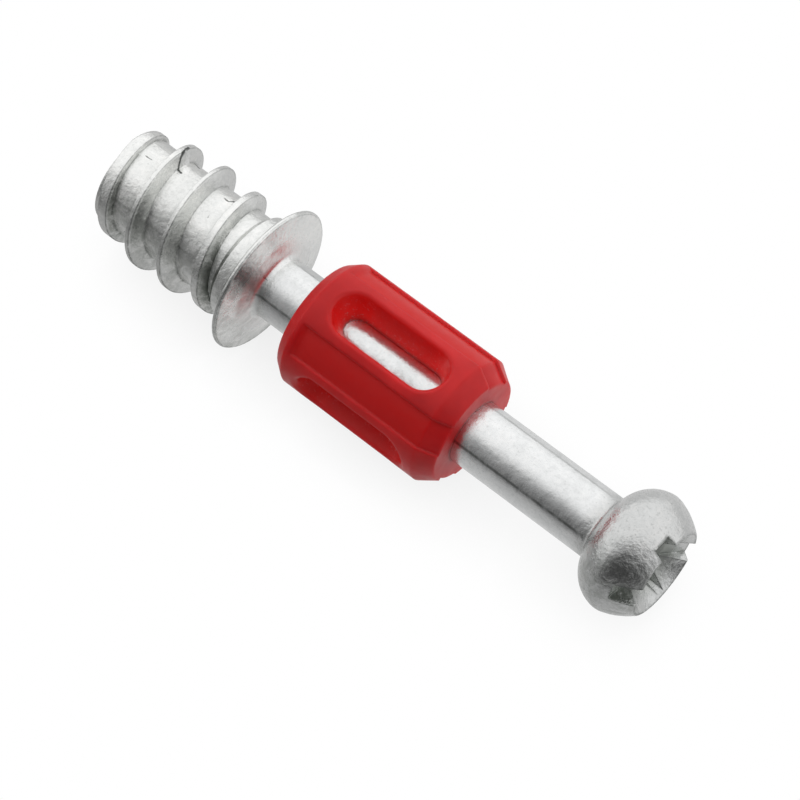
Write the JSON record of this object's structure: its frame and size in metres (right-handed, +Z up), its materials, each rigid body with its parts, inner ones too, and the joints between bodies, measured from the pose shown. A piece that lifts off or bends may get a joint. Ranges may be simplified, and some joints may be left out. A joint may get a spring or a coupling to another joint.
{
  "type": "cam lock bolt",
  "caption": "Metal furniture connecting bolt with a coarse screw-in thread, a round seating flange, a fluted plastic sleeve on its shank and a domed drive head.",
  "frame": {"origin": "on the bolt's axis, in the plane of the flange's seat on the thread side", "axes": "+X along the bolt's axis from the seat towards the head, +Z up with the bolt lying on its side, +Y completes the right-handed frame"},
  "size_m": [0.0328, 0.0076, 0.0076],
  "materials": {
    "bright_metal": "bright die-cast zinc, as cast, softly mottled",
    "red_plastic": "moulded, satin"
  },
  "bodies": {
    "root": {"bolt": "bright_metal", "sleeve": "red_plastic"}
  },
  "joints": []
}
